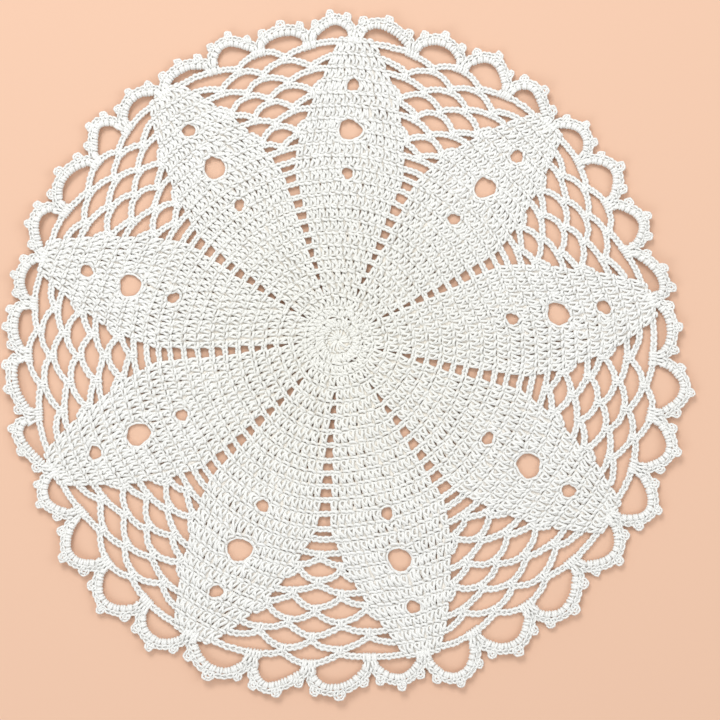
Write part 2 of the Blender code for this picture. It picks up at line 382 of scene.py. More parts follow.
class Yarn:
    """Gathers closed tubes of yarn and makes them one mesh."""

    def __init__(self):
        self.points, self.loops, self.totals, self.yarn_uv, self.cells = [], [], [], [], []
        self.count = 0

    def add(self, paths, radius=0.82, sides=5, per=1, ends=0.72, flat=1.0, vary=0.1, taper=1.0):
        """paths is (strands, corners, 3) in mm. flat under 1 presses the tube in height, vary is how uneven the yarn is."""
        paths = np.asarray(paths, float)
        if not len(paths):
            return
        if per > 1:
            paths = np.einsum("mk,skc->smc", spline(paths.shape[1], per), paths)
        strands, rings = paths.shape[:2]
        ahead = np.gradient(paths, axis=1)
        ahead /= np.linalg.norm(ahead, axis=2, keepdims=True) + 1e-12
        side = np.cross(ahead[:, 0], (0.0, 0.0, 1.0))
        side += 1e-3 * np.cross(ahead[:, 0], (1.0, 0.3, 0.0))
        frames = []
        for m in range(rings):
            side = side - (side * ahead[:, m]).sum(1, keepdims=True) * ahead[:, m]
            side /= np.linalg.norm(side, axis=1, keepdims=True) + 1e-12
            frames.append(side)
        n = np.stack(frames, axis=1)
        b = np.cross(ahead, n)
        swell = np.ones(rings) * np.asarray(taper)
        swell[[0, -1]] *= ends
        turn = 2 * np.pi * (np.arange(sides) + 0.5) / sides
        uneven = np.clip(1.0 + vary * RNG.normal(0, 1, (strands, rings)), 1 - 2 * vary, 1 + 2 * vary)
        r = (radius * swell * uneven)[:, :, None, None]
        off = r * (np.cos(turn)[None, None, :, None] * n[:, :, None] + np.sin(turn)[None, None, :, None] * b[:, :, None])
        off[..., 2] *= flat
        points = paths[:, :, None] + off
        self.points.append(points.reshape(-1, 3))
        # Faces: four-sided along the tube, and one many-sided face on each end
        start = self.count + np.arange(strands)[:, None, None] * rings * sides
        m, j = np.meshgrid(np.arange(rings - 1), np.arange(sides), indexing="ij")
        jn = (j + 1) % sides
        quad = np.stack([m * sides + j, m * sides + jn, (m + 1) * sides + jn, (m + 1) * sides + j], axis=-1)
        quads = start[..., None] + quad[None]
        caps = np.stack([np.arange(sides)[::-1], (rings - 1) * sides + np.arange(sides)])
        cap_faces = start + caps[None]
        self.loops.append(np.concatenate([quads.reshape(strands, -1), cap_faces.reshape(strands, -1)], axis=1).ravel())
        self.totals.append(np.tile(np.concatenate([np.full(m.size, 4), [sides, sides]]), strands))
        # Coordinates round and along the yarn, v in mm
        step = np.linalg.norm(np.diff(paths, axis=1), axis=2)
        along = np.concatenate([np.zeros((strands, 1)), np.cumsum(step, axis=1)], axis=1)
        reach = along[:, -1:]
        shift = RNG.uniform(0, 8, (strands, 1))
        u = np.stack([j, j + 1, j + 1, j], axis=-1) / sides
        mm = np.stack([m, m, m + 1, m + 1], axis=-1)
        v = along[:, mm]
        bow = 0.35 * radius * np.sin(np.pi * (np.arange(sides) + 0.5) / sides)
        cap_u = np.stack([np.arange(sides)[::-1], np.arange(sides)]) / sides
        cap_v = np.stack([np.zeros(sides) - bow[::-1], bow])[None] + np.stack([0 * reach, reach], axis=1)
        u_all = np.concatenate([np.broadcast_to(u[None], (strands, *u.shape)).reshape(strands, -1), np.tile(cap_u.ravel(), (strands, 1))], axis=1)
        v_all = np.concatenate([v.reshape(strands, -1), cap_v.reshape(strands, -1)], axis=1)
        self.yarn_uv.append(np.stack([u_all, v_all + shift], axis=-1).reshape(-1, 2))
        self.cells.append((strands, u_all, v_all, float(reach.max()), 2 * math.pi * radius))
        self.count += strands * rings * sides

    def atlas(self):
        """A place of its own on the piece's map for every tube, each as large as it is."""

        def height(k):
            total = 0.0
            for strands, _, _, long, round_it in self.cells:
                a_row = max(1, int(1.0 / (k * (long + 1.6))))
                total += math.ceil(strands / a_row) * k * (round_it + 0.9)
            return total

        lo, hi = 1e-6, 1.0 / (max(c[3] for c in self.cells) + 1.6)
        for _ in range(40):
            mid = (lo + hi) / 2
            lo, hi = (mid, hi) if height(mid) <= 1.0 else (lo, mid)
        k, y, found = lo, 0.0, []
        for strands, u, v, long, round_it in self.cells:
            a_row = max(1, int(1.0 / (k * (long + 1.6))))
            s = np.arange(strands)
            left, low = (s % a_row) * k * (long + 1.6), y + (s // a_row) * k * (round_it + 0.9)
            x = left[:, None] + k * (v + 0.8)
            yy = low[:, None] + k * (u * round_it + 0.45)
            found.append(np.stack([x, yy], axis=-1).reshape(-1, 2))
            y += math.ceil(strands / a_row) * k * (round_it + 0.9)
        return np.clip(np.concatenate(found), 0.0, 1.0)

    def make(self, name, material):
        points = np.concatenate(self.points) * MM
        loops = np.concatenate(self.loops).astype(np.int32)
        totals = np.concatenate(self.totals).astype(np.int32)
        return mesh_piece(name, points, loops, totals, material, {"yarn": np.concatenate(self.yarn_uv), "OFBake": self.atlas()})

    def triangles(self):
        return int((np.concatenate(self.totals) - 2).sum())


def mesh_piece(name, points, loops, totals, material, maps=()):
    mesh = bpy.data.meshes.new(name)
    mesh.vertices.add(len(points))
    mesh.vertices.foreach_set("co", np.asarray(points, np.float32).ravel())
    mesh.loops.add(len(loops))
    mesh.loops.foreach_set("vertex_index", loops)
    mesh.polygons.add(len(totals))
    first = np.concatenate([[0], np.cumsum(totals)[:-1]]).astype(np.int32)
    mesh.polygons.foreach_set("loop_start", first)
    mesh.polygons.foreach_set("use_smooth", np.ones(len(totals), bool))
    for key in maps:
        layer = mesh.uv_layers.new(name=key, do_init=False)
        layer.uv.foreach_set("vector", np.asarray(maps[key], np.float32).ravel())
    mesh.update(calc_edges=True)
    mesh.validate(clean_customdata=False)
    mesh.materials.append(material)
    piece = bpy.data.objects.new(name, mesh)
    bpy.context.scene.collection.objects.link(piece)
    return piece


# ---------------------------------------------------------------- materials


def node(tree, kind, **values):
    made = tree.nodes.new(kind)
    for key, value in values.items():
        setattr(made, key, value)
    return made


def maths(tree, operation, a, b=None, clamp=False):
    made = node(tree, "ShaderNodeMath", operation=operation, use_clamp=clamp)
    for socket, value in zip(made.inputs, (a, b)):
        if value is None:
            continue
        if isinstance(value, (int, float)):
            socket.default_value = value
        else:
            tree.links.new(value, socket)
    return made.outputs[0]


def cotton(name, twisted=True, painted_shade_tint=(1.0, 1.0, 1.0)):
    """Ivory crochet cotton: plies that wind round the strand, with painted shade in the grooves between them, fine
    fuzz, and a tone that drifts a little over the doily.
    """
    material = bpy.data.materials.new(name)
    material.use_nodes = True
    tree = material.node_tree
    shader = tree.nodes["Principled BSDF"]
    shader.inputs["Roughness"].default_value = 0.88
    shader.inputs["Metallic"].default_value = 0.0
    shader.inputs["Specular IOR Level"].default_value = 0.25
    shader.inputs["Sheen Weight"].default_value = 0.25
    shader.inputs["Sheen Roughness"].default_value = 0.5
    shader.inputs["Sheen Tint"].default_value = (1.0, 0.98, 0.94, 1.0)
    place_of = node(tree, "ShaderNodeTexCoord").outputs["Object"]
    drift = node(tree, "ShaderNodeTexNoise")
    drift.inputs["Scale"].default_value = 55.0
    drift.inputs["Detail"].default_value = 3.0
    tree.links.new(place_of, drift.inputs["Vector"])
    fuzz = node(tree, "ShaderNodeTexNoise")
    fuzz.inputs["Scale"].default_value = 2600.0
    fuzz.inputs["Detail"].default_value = 2.0
    tree.links.new(place_of, fuzz.inputs["Vector"])
    tone = node(tree, "ShaderNodeMix", data_type="RGBA")
    tone.inputs["A"].default_value = (0.846 * painted_shade_tint[0], 0.843 * painted_shade_tint[1], 0.818 * painted_shade_tint[2], 1.0)
    tone.inputs["B"].default_value = (0.920 * painted_shade_tint[0], 0.920 * painted_shade_tint[1], 0.902 * painted_shade_tint[2], 1.0)
    tree.links.new(drift.outputs["Fac"], tone.inputs["Factor"])
    # The middle of the doily is a little creamier than the rest
    far = node(tree, "ShaderNodeVectorMath", operation="LENGTH")
    tree.links.new(place_of, far.inputs[0])
    cream = node(tree, "ShaderNodeMix", data_type="RGBA")
    cream.inputs["A"].default_value = (0.958, 0.946, 0.908, 1.0)
    cream.inputs["B"].default_value = (0.996, 0.989, 0.983, 1.0)
    tree.links.new(maths(tree, "MULTIPLY", far.outputs["Value"], 7.0, clamp=True), cream.inputs["Factor"])
    toned = node(tree, "ShaderNodeMix", data_type="RGBA", blend_type="MULTIPLY")
    toned.inputs["Factor"].default_value = 1.0
    tree.links.new(tone.outputs["Result"], toned.inputs["A"])
    tree.links.new(cream.outputs["Result"], toned.inputs["B"])
    height = fuzz.outputs["Fac"]
    colour = toned.outputs["Result"]
    if twisted:
        uv = node(tree, "ShaderNodeUVMap", uv_map="yarn")
        split = node(tree, "ShaderNodeSeparateXYZ")
        tree.links.new(uv.outputs["UV"], split.inputs[0])
        # Four plies, and a full turn every 5.2 mm
        angle = maths(tree, "ADD", maths(tree, "MULTIPLY", split.outputs["X"], 4 * 2 * math.pi), maths(tree, "MULTIPLY", split.outputs["Y"], 4 * 2 * math.pi / 5.2))
        ply = maths(tree, "ABSOLUTE", maths(tree, "SINE", maths(tree, "MULTIPLY", angle, 0.5)))
        height = maths(tree, "ADD", maths(tree, "MULTIPLY", ply, 0.8), maths(tree, "MULTIPLY", fuzz.outputs["Fac"], 0.5))
        # Painted shade: the grooves between the plies are painted darker, where shade would fall in them
        painted_groove_shade = node(tree, "ShaderNodeMix", data_type="RGBA", blend_type="MULTIPLY")
        painted_groove_shade.inputs["A"].default_value = (1, 1, 1, 1)
        painted_groove_shade.inputs["B"].default_value = (0.88, 0.845, 0.805, 1)
        groove_shade_share = maths(tree, "SUBTRACT", 1.0, maths(tree, "MULTIPLY", ply, 2.0), clamp=True)
        tree.links.new(groove_shade_share, painted_groove_shade.inputs["Factor"])
        whole = node(tree, "ShaderNodeMix", data_type="RGBA", blend_type="MULTIPLY")
        whole.inputs["Factor"].default_value = 1.0
        tree.links.new(colour, whole.inputs["A"])
        tree.links.new(painted_groove_shade.outputs["Result"], whole.inputs["B"])
        colour = whole.outputs["Result"]
    tree.links.new(colour, shader.inputs["Base Color"])
    bump = node(tree, "ShaderNodeBump")
    bump.inputs["Strength"].default_value = 0.6
    bump.inputs["Distance"].default_value = 0.00022
    tree.links.new(height, bump.inputs["Height"])
    tree.links.new(bump.outputs["Normal"], shader.inputs["Normal"])
    return material


def plain(name, colour, roughness):
    material = bpy.data.materials.new(name)
    material.use_nodes = True
    shader = material.node_tree.nodes["Principled BSDF"]
    shader.inputs["Base Color"].default_value = (*colour, 1.0)
    shader.inputs["Roughness"].default_value = roughness
    return material


# ---------------------------------------------------------------- leaves of double crochet

# Rows of a leaf: the first three are a little shorter, as rounds near the ring are
ROWS = [(8.8, 15.8), (15.8, 22.7)] + [(top(n - 1), top(n)) for n in range(3, ROUNDS + 1)]
PITCH = 4.75

# The strands of one double crochet. across is in stitches, up in rows, high in mm
LEG_RIGHT = np.array(
    [
        # across, up, high
        (-0.19, 0.06, 2.3),
        (-0.33, 0.22, 2.75),
        (-0.31, 0.42, 2.5),
        (-0.22, 0.64, 2.4),
        (-0.14, 0.84, 2.2),
    ]
)
LEG_LEFT = np.array(
    [
        (0.19, 0.06, 2.3),
        (0.33, 0.22, 2.75),
        (0.27, 0.42, 2.6),
        (0.24, 0.64, 2.2),
        (0.18, 0.84, 2.0),
    ]
)
# The yarn thrown over the hook, which crosses the post on a slant
WRAP = np.array(
    [
        (0.33, 0.74, 2.3),
        (0.20, 0.66, 3.15),
        (0.01, 0.56, 3.4),
        (-0.20, 0.44, 3.2),
        (-0.28, 0.30, 2.3),
    ]
)
# The two loops of the row's edge
FRONT = np.array(
    [
        (-0.37, 0.945, 1.3),
        (-0.25, 0.88, 2.4),
        (-0.03, 0.855, 3.1),
        (0.19, 0.88, 3.25),
        (0.38, 0.955, 2.8),
        (0.52, 1.05, 1.5),
    ]
)
BACK = np.array(
    [
        (-0.41, 1.04, 1.3),
        (-0.27, 1.09, 2.1),
        (0.00, 1.115, 2.35),
        (0.26, 1.105, 2.15),
        (0.44, 1.06, 1.3),
    ]
)


def row_table(leaf):
    """The rows of one leaf: number, stitches, low, high, half_low, half_high and width."""
    rows = []
    for number, (low, high) in enumerate(ROWS, 1):
        half_low, half_high = leaf_half(low), leaf_half(high)
        width = radius_arc((low + high) / 2, half_low + half_high)
        count = {1: 3, 2: 4}.get(number, max(2, round(width / PITCH)))
        # An even row has its eyelet between two stitches, an odd one at a stitch
        count += number in (13, 20) and count % 2 == 1
        count += number in (16, 17) and count % 2 == 0
        rows.append((number, count, low, high, half_low, half_high, width))
    return rows


def worked(leaf, n, low, high, half_low, half_high, width, middle, s, up, spread=1.0):
    """Radius and bearing of a place in a row: s in stitches from middle, which is from -0.5 to 0.5 across it."""
    at = np.radians(leaf + middle * (half_low + half_high))
    mid = (low + high) / 2
    edge = smooth_step((0.5 - np.abs(middle)) * n / 1.2)
    # The posts lean to one side, by more or less
    x, y = mid * np.cos(at), mid * np.sin(at)
    lean = (-0.10 + 0.42 * field(x, y, 42.0, 31)) * edge
    # The gap between two posts is wider in some places than in others
    s = s * (1.0 + spread * (-0.03 + 0.18 * field(x, y, 30.0, 32)) * smooth_step(3.0 * up - 0.8)) + lean * (up - 0.5)
    # and bow a little to one side
    s = s - 0.12 * edge * (1.0 - (2.0 * np.clip(up, 0.0, 1.0) - 1.0) ** 2)
    # The outermost posts stand right at the leaf's edge
    g = (width - 1.7) / (width - 0.62 * PITCH)
    f = (middle + s / n) * np.clip(g, 1.0, 1.08)
    f = np.clip(f, -0.505, 0.505)
    r = low + up * (high - low)
    half = half_low + up * (half_high - half_low)
    return punch(r, leaf + 2 * f * half, leaf)


class Stitches:
    """All the double crochets of one leaf, as arrays."""

    def __init__(self, leaf):
        self.leaf = leaf
        cols = [(i, *row) for row in row_table(leaf) for i in range(row[1])]
        self.i, self.number, self.n, self.low, self.high, self.half_low, self.half_high, self.width = np.array(cols).T
        self.middle = (self.i + 0.5) / self.n - 0.5  # -0.5 to 0.5 across the leaf
        away = np.abs(self.middle * self.n)
        # Posts and tops that are left out for the eyelets
        self.open = np.isin(self.number, (13, 20)) & (away < 1.0)
        self.open |= np.isin(self.number, (16, 17)) & (away < 1.4)
        self.topless = (self.number == 16) & (away < 1.4)
        self.seed = RNG.normal(0, 1, (len(self.i), 4))

    def strands(self, table, keep, spread=1.0):
        across, up, high = table.T
        keep = np.nonzero(keep)[0]
        seed = self.seed[keep]
        rows = (getattr(self, name)[keep][:, None] for name in ("n", "low", "high", "half_low", "half_high", "width", "middle"))
        s = across + 0.05 * seed[:, 1:2] + RNG.normal(0, 0.018, (len(keep), len(across)))
        # Near the ring the rows are less even
        loose = 1.0 + 0.7 * (self.low[keep] < 45.0)[:, None]
        up = up + loose * (0.017 * seed[:, 2:3] + RNG.normal(0, 0.022, (len(keep), 1)))
        r, b = worked(self.leaf, *rows, s, up, spread)
        return laid(r, b, high + 0.12 * seed[:, 3:4] + RNG.normal(0, 0.12, (len(keep), 1)) + RNG.normal(0, 0.05, r.shape))


def leaf_yarn(leaf):
    st, yarn = Stitches(leaf), Yarn()
    posts = ~st.open
    yarn.add(st.strands(LEG_RIGHT, posts), 1.03)
    yarn.add(st.strands(LEG_LEFT, posts), 1.03)
    yarn.add(st.strands(WRAP, posts), 0.94)
    yarn.add(st.strands(FRONT, ~st.topless, 0.0), 1.05, flat=0.95)
    yarn.add(st.strands(BACK, ~st.topless, 0.0), 0.90)
    # The strand that runs round each eyelet
    turn = np.radians(np.linspace(0, 360, 33))
    for n, hx, hy, clear in EYELETS:
        wave = rim(clear, n, leaf, turn) - 0.45 + 0.16 * np.cos(5 * turn + RNG.uniform(0, 6)) + 0.14 * np.cos(8 * turn + RNG.uniform(0, 6))
        x, y = top(n) + wave * np.cos(turn), wave * np.sin(turn)
        yarn.add(laid(np.hypot(x, y)[None], leaf + np.degrees(np.arctan2(y, x))[None], np.full((1, 33), 1.8)), 0.85, ends=1.0)
    return yarn


# ---------------------------------------------------------------- chains


class Line:
    """A line on the even doily, in mm, by its own length, with the direction to its left."""

    def __init__(self, points):
        step = np.linalg.norm(np.diff(points, axis=0), axis=1)
        self.at = np.concatenate([[0.0], np.cumsum(step)])
        self.points = points
        ahead = np.gradient(points, self.at, axis=0)
        ahead /= np.linalg.norm(ahead, axis=1)[:, None]
        self.ahead, self.left = ahead, np.stack([-ahead[:, 1], ahead[:, 0]], axis=1)
        self.length = self.at[-1]

    def spot(self, along, left):
        """Even x and y of places along the line and beside it; past its ends it goes straight on."""
        along, left = np.asarray(along, float), np.asarray(left, float)
        inside = np.clip(along, 0.0, self.length)
        get = lambda values: np.stack([np.interp(inside, self.at, values[:, k]) for k in range(2)], axis=-1)
        return get(self.points) + get(self.ahead) * (along - inside)[..., None] + get(self.left) * left[..., None]


def polar(spots):
    return np.hypot(spots[..., 0], spots[..., 1]), np.degrees(np.arctan2(spots[..., 1], spots[..., 0]))


CHAIN = np.array(
    [
        # along (links), aside (mm), high
        (1.28, 0.45, 1.0),
        (1.02, 1.30, 1.75),
        (0.60, 1.46, 2.5),
        (0.22, 0.92, 2.5),
        (0.00, 0.00, 1.75),
        (0.22, -0.92, 2.5),
        (0.60, -1.46, 2.5),
        (1.02, -1.30, 1.75),
        (1.28, -0.45, 1.0),
    ]
)


def chain(line, pitch=3.3, wide=1.0, high=0.0, first=0.0, last=None, back=False):
    """The links of a chain along a line, as paths, and the low strand behind them."""
    last = line.length if last is None else last
    links = max(1, round((last - first) / pitch))
    size = (last - first) / links
    start = first + size * np.arange(links)[:, None]
    along, aside, z = CHAIN.T
    if back:
        along = 1.0 - along
    turn = RNG.normal(0, 0.10, (links, 1))
    spots = line.spot(start + along * size, aside * wide + turn)
    paths = (*polar(spots), z + high + RNG.normal(0, 0.10, (links, 1)) + 0 * along)
    behind = max(2, 2 * links + 1)
    mid = line.spot(np.linspace(first - 0.3, last + 0.3, behind), np.zeros(behind))
    core = (*polar(mid), np.full(behind, 1.35 + high))
    return paths, core


def arch_line(seam, arch, extra=0.0):
    a, ra, b, rb, bulge = arch
    t = np.linspace(0, 1, 41)
    deg = seam + a + (b - a) * t
    r = ra + (rb - ra) * t + bulge * 4 * t * (1 - t)
    rad = np.radians(deg)
    return Line(np.stack([r * np.cos(rad), r * np.sin(rad)], axis=1))


def radial_wraps(bearings, low, high, rise, spread, lean):
    """Strands that wrap over the cord below, from low to high mm, one each bearing."""
    t = np.array([0.0, 0.14, 0.42, 0.72, 1.0])
    z = np.array([0.9, 2.3, 3.2, 3.0, 1.8])
    paths_r, paths_b = [], []
    for bearing, lo, hi, s in zip(bearings, low, high, spread):
        r = lo + (hi - lo) * t
        mm = s + (lean - s) * t**1.5
        paths_r.append(r)
        paths_b.append(bearing + np.degrees(mm / r))
    return np.array(paths_r), np.array(paths_b), np.tile(z + rise, (len(paths_r), 1))


def net_yarn(k):
    """The net about one seam, and the rungs across the seam below it."""
    seam, yarn = LEAF_0 + 20.0 + 40.0 * k, Yarn()
    links, cores = [], {}

    def put(line, **how):
        paths, core = chain(line, **how)
        links.append(laid(*paths))
        cores.setdefault(len(core[0]), []).append(laid(*core))

    for n in range(2, SHOULDER + 1):
        half = (seam_width(top(n)) / 2 + 1.2) / top(n)
        angles = np.linspace(-half, half, 5) + math.radians(seam)
        r = (top(n) if n > 2 else 22.7) + 0.35 * RNG.normal()
        put(Line(np.stack([r * np.cos(angles), r * np.sin(angles)], axis=1)), pitch=3.2, wide=0.85, back=bool(n % 2))
    wraps = []
    for n, hooks in NET:
        for arch in CORDS[n]:
            put(arch_line(seam, arch), first=-0.4)
        for e in hooks:
            floor = cord_height(CORDS.get(n - 1), e) if n > 14 else None
            floor = top(n - 1) - CORD / 2 if floor is None else floor
            at = seam + e
            for side in (-1.0, 1.0):
                wraps.append(
                    laid(
                        *radial_wraps([at], [floor - 2.0], [floor + 3.6], 0.1, [side * 1.0], side * 0.4)
                    )[0]
                )
    yarn.add(np.concatenate(links), 0.92)
    for group in cores.values():
        yarn.add(np.array(group), 0.95, flat=0.8)
    yarn.add(np.array(wraps), 0.88)
    return yarn


# ---------------------------------------------------------------- edging


def band_line(i, aside):
    """The line aside mm outwards of the middle of a scallop's band. Near the pillars it keeps to its own side."""
    row = SCALLOPS[i]
    fine = np.linspace(0.0, 1.0, 161)
    r = EDGE + scallop_line(row, fine)
    a = np.radians(EVEN[i] + 10.0 * fine)
    line = np.stack([r * np.cos(a), r * np.sin(a)], axis=1)
    ahead = np.gradient(line, axis=0)
    ahead /= np.linalg.norm(ahead, axis=1)[:, None]
    out = np.stack([ahead[:, 1], -ahead[:, 0]], axis=1)
    spots = line + out * aside
    radius, bearing = polar(spots)
    b = np.mod(bearing - EVEN[i] + 180.0, 360.0) - 180.0
    own = np.interp(aside, [-3.1, 2.4], [1.25, 0.27])  # degrees from the pillar's middle
    b = np.maximum(b, own)
    b = np.minimum(b, 10.0 - own)
    return radius, EVEN[i] + b


RAILS = (-2.6, -3.0, -2.2, -0.8, 0.8)  # where a ridge goes, from inside the arch out
RAIL_HIGH = (1.0, 1.8, 2.6, 2.85, 2.0)
RIDGE = 2.1


def edging_yarn(first, last):
    yarn = Yarn()
    ridges, links, knobs, cores = [], [], [], {}
    for i in range(first, last):
        rails = [band_line(i, aside) for aside in RAILS]
        middle_r, middle_b = band_line(i, -0.6)
        mid = Line(np.stack([middle_r * np.cos(np.radians(middle_b)), middle_r * np.sin(np.radians(middle_b))], axis=1))
        count = 2 * round(mid.length / RIDGE / 2)
        at = (np.arange(count) + 0.5) / count * mid.length + RNG.normal(0, 0.14, count)
        share = np.interp(at, mid.at, np.linspace(0, 1, len(mid.at)))
        # Two legs of a stitch lean together towards its top
        pair = np.where(np.arange(count) % 2 == 0, 1.0, -1.0) * 0.011
        strand = []
        for (r, b), z, k in zip(rails, RAIL_HIGH, range(len(RAILS))):
            s = np.clip(share + pair * (k / 4.0) ** 1.5, 0, 1) * (len(r) - 1)
            grid = np.arange(len(r))
            strand.append((np.interp(s, grid, r), np.interp(s, grid, b), np.full(count, z)))
        r, b, z = (np.stack([x[k] for x in strand], axis=1) for k in range(3))
        ridges.append(laid(r, b, z + RNG.normal(0, 0.08, (count, 1)), wobble=0.2))
        # The line of chain tops along the outer side
        r, b = band_line(i, 1.95)
        outer = Line(np.stack([r * np.cos(np.radians(b)), r * np.sin(np.radians(b))], axis=1))
        paths, core = chain(outer, pitch=3.4, wide=0.86, high=0.25)
        links.append(laid(*paths, wobble=0.2))
        r, b = band_line(i, -0.9)
        inner = Line(np.stack([r * np.cos(np.radians(b)), r * np.sin(np.radians(b))], axis=1))
        for line, step, z in ((outer, 25, 1.2), (inner, 25, 1.5)):
            spots = line.spot(np.linspace(0, line.length, step), np.zeros(step))
            cores.setdefault(step, []).append(laid(*polar(spots), np.full(step, z), wobble=0.2))
        # Picots: a small loop of three chains on the outer side
        r, b = band_line(i, BAND / 2)
        rail = Line(np.stack([r * np.cos(np.radians(b)), r * np.sin(np.radians(b))], axis=1))
        for u in PICOT_AT:
            s = np.interp(u, np.linspace(0, 1, len(rail.at)), rail.at)
            foot = rail.spot(s, 0.0)
            ahead = rail.spot(s + 0.5, 0.0) - rail.spot(s - 0.5, 0.0)
            ahead /= np.linalg.norm(ahead)
            out = np.array([ahead[1], -ahead[0]])
            up = 0.3 * out + 0.7 * foot / np.linalg.norm(foot)
            up /= np.linalg.norm(up)
            across = np.array([up[1], -up[0]])
            lean, size = RNG.normal(0, 0.3), RNG.uniform(0.92, 1.3)
            loop = np.array(
                [
                    # across, up
                    (-1.35, -1.7),
                    (-1.70, -0.1),
                    (-1.55, 1.3),
                    (-0.65 + lean, 2.35),
                    (0.65 + lean, 2.35),
                    (1.55, 1.3),
                    (1.70, -0.1),
                    (1.35, -1.7),
                ]
            )
            loop = spline(len(loop), 6) @ (loop * (size, 0.5 + size / 2))
            ring = Line(foot + loop[:, :1] * across + loop[:, 1:] * up)
            paths, core = chain(ring, pitch=2.9, wide=0.62, high=RNG.normal(0.2, 0.2))
            knobs.append(laid(*paths, wobble=0.15))
    yarn.add(np.concatenate(ridges), 1.08, flat=0.86)
    yarn.add(np.concatenate(links), 0.74)
    yarn.add(np.concatenate(knobs), 0.80)
    for group in cores.values():
        yarn.add(np.array(group), 1.25, flat=0.8)
    # Stitches that gather the last round under each pillar, and those above, where the bands meet
    wraps = []
    for i in range(first, last):
        seam = LEAF_0 + 20.0 + 40.0 * round((EVEN[i] - LEAF_0 - 20.0) / 40.0)
        for k in (-2.0, -1.0, 0.0, 1.0, 2.0):
            b = EVEN[i] + k * 0.52 + RNG.normal(0, 0.05)
            floor = cord_height(CORDS[ROUNDS], b - seam)
            floor = EDGE - 1.0 if floor is None else floor
            high = floor + 3.3 + RNG.normal(0, 0.3)
            wraps.append(laid(*radial_wraps([b], [floor - 2.3], [high], 0.0, [0.0], 0.1 * k + RNG.normal(0, 0.2)), wobble=0.2)[0])
        for k in (-1.5, -0.5, 0.5, 1.5):
            b = EVEN[i] + k * 0.52 + RNG.normal(0, 0.08)
            low = EDGE - 1.2 + RNG.normal(0, 0.3)
            high = EDGE + 4.2 + 0.5 * abs(k) + RNG.normal(0, 0.4)
            wraps.append(laid(*radial_wraps([b], [low], [high], 0.15, [0.0], 1.5 * k + RNG.normal(0, 0.3)), wobble=0.2)[0])
    yarn.add(np.array(wraps), 1.05, flat=0.9)
    return yarn


# ---------------------------------------------------------------- middle


def middle_yarn():
    """The drawn-up ring and its posts."""
    yarn = Yarn()
    count = 18
    a = np.arange(count) * 360.0 / count + 3.0 + RNG.normal(0, 3.0, count)
    t = np.array([0.0, 0.12, 0.35, 0.65, 0.9, 1.0])
    r = 0.7 + (7.6 + RNG.normal(0, 0.35, (count, 1))) * t[None]
    z = np.array([0.9, 1.9, 2.5, 2.4, 2.0, 1.2])[None] + RNG.normal(0, 0.3, (count, 1))
    b = a[:, None] + np.linspace(-16, 10, 6)[None] * RNG.uniform(0.4, 1.4, (count, 1)) + 0 * r
    yarn.add(laid(r, b, z), 0.86, sides=6)
    # A low, closed ring under the posts
    turn = np.linspace(0, 360, 25)
    yarn.add(laid(np.full((1, 25), 1.9), turn[None], np.full((1, 25), 1.0)), 0.8, ends=1.0)
    f = (np.arange(count) + 0.5) * 360.0 / count
    for table, thick in ((FRONT, 0.80), (BACK, 0.74)):
        across, up, high = table.T
        r = 0.6 + 8.2 * up[None] + 0 * f[:, None]
        r = r + RNG.normal(0, 0.25, (count, 1))
        yarn.add(laid(r, f[:, None] + (across[None] + RNG.normal(0, 0.08, (count, 1))) * 360.0 / count, high[None] + RNG.normal(0, 0.15, (count, 1)) + 0 * r), thick)
    return yarn


# ---------------------------------------------------------------- the felted middle of the cloth


def thick_sheet(points, quads, thick):
    """A closed sheet from quads, thick mm downwards: points, and four-cornered faces."""
    used, renumbered = np.unique(quads, return_inverse=True)
    quads = renumbered.reshape(quads.shape)
    upper = points[used]
    lower = upper - (0, 0, thick)
    edges = np.concatenate([quads[:, [k, (k + 1) % 4]] for k in range(4)])
    twins = {tuple(e) for e in edges.tolist()}
    rim = np.array([e for e in edges.tolist() if (e[1], e[0]) not in twins])
    n = len(upper)
    sides = np.stack([rim[:, 1], rim[:, 0], rim[:, 0] + n, rim[:, 1] + n], axis=1)
    return np.concatenate([upper, lower]), np.concatenate([quads, quads[:, ::-1] + n, sides])


GAP = 0.095  # half the gap between two posts, in stitches
LEVELS = np.array((0.02, 0.43, 0.60, 0.80, 0.97))  # the gap is open between the middle three
LEVEL_HIGH = np.array((2.4, 1.6, 1.6, 1.8, 2.4))


